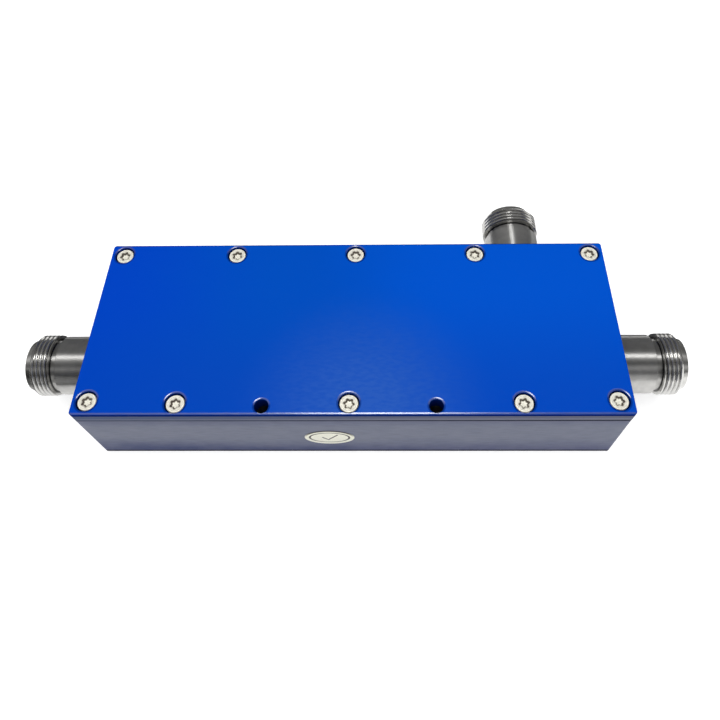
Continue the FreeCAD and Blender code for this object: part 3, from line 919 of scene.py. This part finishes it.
def separate_solids(node_name):
    """The lowest and highest corner of each separate solid in a node."""
    bm = bmesh.new()
    bm.from_mesh(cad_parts[node_name].data)
    bmesh.ops.remove_doubles(bm, verts=bm.verts, dist=TINY * 10)
    waiting = set(bm.verts)
    boxes = []
    while waiting:
        found = {waiting.pop()}
        edge_of = list(found)
        while edge_of:
            near = {edge.other_vert(vert) for vert in edge_of for edge in vert.link_edges} & waiting
            waiting -= near
            found |= near
            edge_of = list(near)
        places = [vert.co for vert in found]
        boxes.append((
            Vector([min(place[axis] for place in places) for axis in range(3)]),
            Vector([max(place[axis] for place in places) for axis in range(3)]),
        ))
    bm.free()
    return sorted(boxes, key=lambda box: (round(box[0].y, 4), round(box[0].x, 4)))


def sticker_mesh(sizes):
    """The sticker: an oval with a softly rounded front edge, flat against the tray's front face."""
    low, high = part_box("inspection_sticker")
    half = (high - low) / 2
    bm = bmesh.new()
    oval = bmesh.ops.create_circle(bm, cap_ends=True, segments=96, radius=1)["verts"]
    bmesh.ops.rotate(bm, verts=oval, cent=(0, 0, 0), matrix=Matrix.Rotation(math.pi / 2, 3, "X"))
    bmesh.ops.scale(bm, verts=oval, vec=(half.x, 1, half.z))
    bmesh.ops.translate(bm, verts=oval, vec=((low.x + high.x) / 2, high.y, (low.z + high.z) / 2))
    grown = bmesh.ops.extrude_face_region(bm, geom=bm.faces[:] + bm.edges[:] + bm.verts[:])["geom"]
    front = [item for item in grown if isinstance(item, bmesh.types.BMVert)]
    bmesh.ops.translate(bm, verts=front, vec=(0, low.y - high.y, 0))
    rim = [edge for edge in bm.edges if all(abs(vert.co.y - low.y) < TINY for vert in edge.verts)]
    bmesh.ops.bevel(
        bm, geom=rim, offset=sizes.edge, affect="EDGES", segments=2, profile=0.5, material=-1
    )
    return bm


class COUPLER_OT_finish_housing(Operator):
    """Gives the tray its satin grey blue finish"""

    bl_idname = "coupler.finish_housing"
    bl_label = "Finish the tray"

    def execute(self, context):
        finish_node("housing", milled_side_finish())
        return {"FINISHED"}


class COUPLER_OT_paint_cover(Operator):
    """Paints the cover blue, with satin sides"""

    bl_idname = "coupler.paint_cover"
    bl_label = "Paint the cover"

    def execute(self, context):
        finish_node("cover", cover_paint_finish(context.scene.coupler_cover))
        return {"FINISHED"}


class COUPLER_OT_cut_ports(Operator):
    """Makes the three port shells with their cut threads"""

    bl_idname = "coupler.cut_ports"
    bl_label = "Cut the ports"

    def execute(self, context):
        sizes = context.scene.coupler_port
        thread_turns = {"input": -0.2, "output": 0.3, "coupled": -0.3}
        for port, heading in PORTS.items():
            place, radius, wall = port_place(port)
            bm = port_shell_mesh(sizes, wall, radius, thread_turns[port])
            stand = Matrix.Translation(place) @ Matrix.Rotation(heading, 4, "Z")
            bmesh.ops.transform(bm, matrix=stand, verts=bm.verts)
            plating = plated_finish(port + "_port_plating", place, heading, radius, sizes)
            new_piece(port + "_threaded_shell", bm, plating, "port_nickel", port + "_port_shell")
        return {"FINISHED"}


class COUPLER_OT_fit_screws(Operator):
    """Makes the cover's ten screws with rounded heads and six-lobe recesses"""

    bl_idname = "coupler.fit_screws"
    bl_label = "Fit the screws"

    def execute(self, context):
        turn_step = 0.37
        sizes = context.scene.coupler_screw
        bm = bmesh.new()
        bm.verts.layers.float.new("screw_shade")
        for number, (low, high) in enumerate(separate_solids("cover_screws")):
            head_height = high.z - low.z - sizes.shank_length
            seat = Vector(((low.x + high.x) / 2, (low.y + high.y) / 2, high.z - head_height))
            screw_mesh(bm, sizes, head_height, seat, turn=number * turn_step)
        new_piece("cover_screws_recessed", bm, screw_finish(), "screw_steel", "cover_screws")
        return {"FINISHED"}


class COUPLER_OT_stick_sticker(Operator):
    """Makes the oval sticker with its printed ring and tick"""

    bl_idname = "coupler.stick_sticker"
    bl_label = "Stick the sticker"

    def execute(self, context):
        sizes = context.scene.coupler_sticker
        bm = sticker_mesh(sizes)
        new_piece("oval_sticker", bm, sticker_finish(sizes), "sticker_paper", "inspection_sticker")
        return {"FINISHED"}


class COUPLER_OT_finish_inner_parts(Operator):
    """Finishes the contacts, insulators, lines, supports and the load"""

    bl_idname = "coupler.finish_inner_parts"
    bl_label = "Finish the inner parts"

    def execute(self, context):
        gold = plain_metal_finish("contact_gold_plate", colours().gold, roughness=0.2)
        silver = plain_metal_finish("line_silver_plate", colours().silver, roughness=0.3)
        nickel = plain_metal_finish("flange_nickel_plate", colours().plating, roughness=0.3)
        steel = plain_metal_finish("load_screw_steel", colours().steel, roughness=0.35)
        white = dielectric_finish()
        for port in PORTS:
            finish_node(port + "_port_contact", gold)
            finish_node(port + "_port_insulator", white)
        for node_name in ("main_line", "coupled_line", "load_lead"):
            finish_node(node_name, silver)
        for node_name in ("main_line_supports", "coupled_line_supports"):
            finish_node(node_name, white)
        finish_node("load_flange", nickel)
        finish_node("load_screws", steel)
        finish_node("load_chip", ceramic_finish())
        return {"FINISHED"}


def floor_finish(settings):
    """Pale floor, white to the camera. Gloss sees painted light and painted shadow on it: white near the
    object, dark elsewhere and behind the box's ends.
    """
    back_end = (0.12, 0.08)
    left_end = (-0.104, -0.076)
    front_left = (-0.05, 0.02)
    front_end = (-0.1, -0.04)
    box_end = (0.058, 0.066)
    box_middle = (-0.004, 0.004)
    slant_end = (-0.004, -0.01)
    slant = 0.72
    finish = Finish("floor_pale", colours().floor, roughness=0.9, specular=0.0)
    place = finish.axes(finish.place())
    rays = finish.node("LightPath").outputs
    aside = finish.math("ABSOLUTE", place["X"])
    # Painted shadow, seen only in gloss: the floor behind the box's ends is dark.
    beside_box = finish.times(finish.fade(aside, *box_end), finish.fade(place["Y"], *box_middle))
    before_slant = finish.fade(finish.minus(place["Y"], finish.times(aside, slant)), *slant_end)
    shadow_behind_ends = finish.times(beside_box, before_slant)
    near = finish.times(finish.fade(place["Y"], *back_end), finish.fade(place["X"], *left_end))
    front = finish.larger(finish.fade(place["X"], *front_left), finish.fade(place["Y"], *front_end))
    lit = finish.times(finish.times(near, front), finish.minus(1.0, shadow_behind_ends))
    seen = finish.larger(rays["Is Camera Ray"], rays["Is Transmission Ray"])
    shown = finish.larger(seen, finish.times(rays["Is Glossy Ray"], lit))
    finish.set("Emission Color", (1, 1, 1, 1))
    finish.set("Emission Strength", finish.times(shown, settings.floor_glow))
    # Painted shadow: in gloss, the floor outside the lit part takes a dark colour.
    gloss_shadow = finish.times(rays["Is Glossy Ray"], finish.minus(1.0, lit))
    finish.set("Base Color", finish.blend(gloss_shadow, colours().floor, darker(colours().floor, 0.15)))
    return finish.material


def make_floor(settings):
    """A wide pale floor just under the object, which keeps its shadow."""
    clearance = 0.00005
    bm = bmesh.new()
    bmesh.ops.create_grid(bm, x_segments=1, y_segments=1, size=3)
    bmesh.ops.translate(bm, verts=bm.verts, vec=(0, 0, cad_bounds[0].z - clearance))
    mesh = bpy.data.meshes.new("studio_floor")
    bm.to_mesh(mesh)
    bm.free()
    mesh.materials.append(floor_finish(settings))
    floor = bpy.data.objects.new("studio_floor", mesh)
    bpy.context.collection.objects.link(floor)


def make_lamp(name, place, aim, size, power, in_gloss):
    """A square lamp at a place, aimed at a point. It lights matt surfaces or glints in gloss."""
    data = bpy.data.lights.new(name, "AREA")
    data.shape = "SQUARE"
    data.size = size
    data.energy = power
    lamp = bpy.data.objects.new(name, data)
    lamp.location = place
    lamp.rotation_euler = (Vector(place) - Vector(aim)).to_track_quat("Z", "Y").to_euler()
    lamp.visible_camera = False
    lamp.visible_glossy = in_gloss
    lamp.visible_diffuse = not in_gloss
    bpy.context.collection.objects.link(lamp)


# The room's light levels in gloss at its left and right, as stops of (angle, level). The angle goes in
# degrees from the horizon at the back over the top to the one in front.
ROOM_LEFT = (
    (0, 0.17), (45, 0.22), (60, 0.2), (86, 0.7), (108, 0.2),
    (120, 0.13), (131, 0.29), (142, 0.07), (180, 0.02),
)
ROOM_RIGHT = (
    (0, 0.19), (50, 0.13), (68, 0.2), (79, 0.6), (92, 0.3), (112, 0.11),
    (133, 0.58), (148, 0.25), (153, 0.07), (157, 0.07), (160, 0.72), (180, 0.95),
)


def room_level(room, turn, stops):
    """The room's light level at an angle, which changes softly from stop to stop."""
    half_turn = 180
    made = room.node("ValToRGB", room.math("DIVIDE", turn, half_turn))
    ramp = made.color_ramp
    ramp.interpolation = "EASE"
    while len(ramp.elements) < len(stops):
        ramp.elements.new(1.0)
    for element, (angle, level) in zip(ramp.elements, stops):
        element.position = angle / half_turn
        element.color = (level, level, level, 1)
    return made.outputs["Color"]


def make_room(settings):
    """Even light for matt surfaces, white to the camera, and for gloss a dim room, brighter on the right."""
    left_to_right = (-0.3, 0.25)
    world = bpy.data.worlds.new("studio_room")
    world.use_nodes = True
    world.node_tree.nodes.clear()
    bpy.context.scene.world = world
    room = Nodes(world.node_tree)
    across, depth, up = room.axes(room.node("TexCoord").outputs["Generated"])
    turn = room.math("DEGREES", room.math("ARCTAN2", up, depth))
    left = room.node("Background", room_level(room, turn, ROOM_LEFT), 1.0)
    right = room.node("Background", room_level(room, turn, ROOM_RIGHT), 1.0)
    to_the_right = room.fade(across, *left_to_right)
    gloss = room.node("MixShader", to_the_right, left.outputs[0], right.outputs[0])
    even = room.node("Background", (1, 1, 1, 1), settings.room)
    white = room.node("Background", (1, 1, 1, 1), 1.0)
    rays = room.node("LightPath").outputs
    lit = room.node("MixShader", rays["Is Glossy Ray"], even.outputs[0], gloss.outputs[0])
    seen = room.larger(rays["Is Camera Ray"], rays["Is Transmission Ray"])
    shown = room.node("MixShader", seen, lit.outputs[0], white.outputs[0])
    room.node("OutputWorld", shown.outputs[0])


def make_camera():
    """The photograph's camera, above and in front of the box."""
    data = bpy.data.cameras.new("photo_camera")
    data.lens = 34.176
    data.sensor_width = 36
    data.shift_x = -0.02706
    data.shift_y = -0.15278
    data.clip_start = 0.01
    turns = (34.8888, 1.1021, 0.3571)
    camera = bpy.data.objects.new("photo_camera", data)
    camera.location = (0.010043, -0.083881, 0.178235)
    camera.rotation_euler = Euler([math.radians(angle) for angle in turns])
    bpy.context.collection.objects.link(camera)
    bpy.context.scene.camera = camera


class COUPLER_OT_set_stage(Operator):
    """Sets up the floor, the lamps, the room and the camera"""

    bl_idname = "coupler.set_stage"
    bl_label = "Set the stage"

    def execute(self, context):
        settings = context.scene.coupler_stage
        low, high = cad_bounds
        centre = (low + high) / 2
        make_floor(settings)
        make_room(settings)
        make_lamp("overhead_soft", (0, 0, 0.6), centre, 0.6, settings.overhead, in_gloss=False)
        make_lamp("front_soft", (0.1, -0.7, 0.45), centre, 0.5, settings.front, in_gloss=False)
        make_lamp("overhead_glint", (-0.05, 0.17, 2), centre, 0.46, settings.glint, in_gloss=True)
        make_camera()
        context.scene.view_settings.view_transform = "Standard"
        return {"FINISHED"}


class COUPLER_PT_looks(Panel):
    """Lists the coupler's pieces and their sizes and colours"""

    bl_idname = "COUPLER_PT_looks"
    bl_label = "Directional coupler"
    bl_space_type = "VIEW_3D"
    bl_region_type = "UI"
    bl_category = "Coupler"

    def draw(self, context):
        groups = {
            "coupler_colours": (COUPLER_OT_finish_housing, COUPLER_OT_finish_inner_parts),
            "coupler_cover": (COUPLER_OT_paint_cover,),
            "coupler_port": (COUPLER_OT_cut_ports,),
            "coupler_screw": (COUPLER_OT_fit_screws,),
            "coupler_sticker": (COUPLER_OT_stick_sticker,),
            "coupler_stage": (COUPLER_OT_set_stage,),
        }
        for group_name, operators in groups.items():
            column = self.layout.column(align=True)
            for operator in operators:
                column.operator(operator.bl_idname)
            group = getattr(context.scene, group_name)
            for property_name in group.__annotations__:
                column.prop(group, property_name)


PROPERTY_GROUPS = {
    "coupler_cover": CoverSizes,
    "coupler_port": PortSizes,
    "coupler_screw": ScrewSizes,
    "coupler_sticker": StickerSizes,
    "coupler_colours": FinishColours,
    "coupler_stage": StageSettings,
}
OPERATORS = (
    COUPLER_OT_finish_housing,
    COUPLER_OT_paint_cover,
    COUPLER_OT_cut_ports,
    COUPLER_OT_fit_screws,
    COUPLER_OT_stick_sticker,
    COUPLER_OT_finish_inner_parts,
    COUPLER_OT_set_stage,
)


def register():
    for group_name, group in PROPERTY_GROUPS.items():
        bpy.utils.register_class(group)
        setattr(bpy.types.Scene, group_name, PointerProperty(type=group))
    for operator in OPERATORS:
        bpy.utils.register_class(operator)
    bpy.utils.register_class(COUPLER_PT_looks)


def unregister():
    bpy.utils.unregister_class(COUPLER_PT_looks)
    for operator in reversed(OPERATORS):
        bpy.utils.unregister_class(operator)
    for group_name, group in PROPERTY_GROUPS.items():
        delattr(bpy.types.Scene, group_name)
        bpy.utils.unregister_class(group)


def main():
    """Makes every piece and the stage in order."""
    register()
    bpy.ops.coupler.finish_housing()
    bpy.ops.coupler.paint_cover()
    bpy.ops.coupler.cut_ports()
    bpy.ops.coupler.fit_screws()
    bpy.ops.coupler.stick_sticker()
    bpy.ops.coupler.finish_inner_parts()
    bpy.ops.coupler.set_stage()


if __name__ == "__main__":
    main()
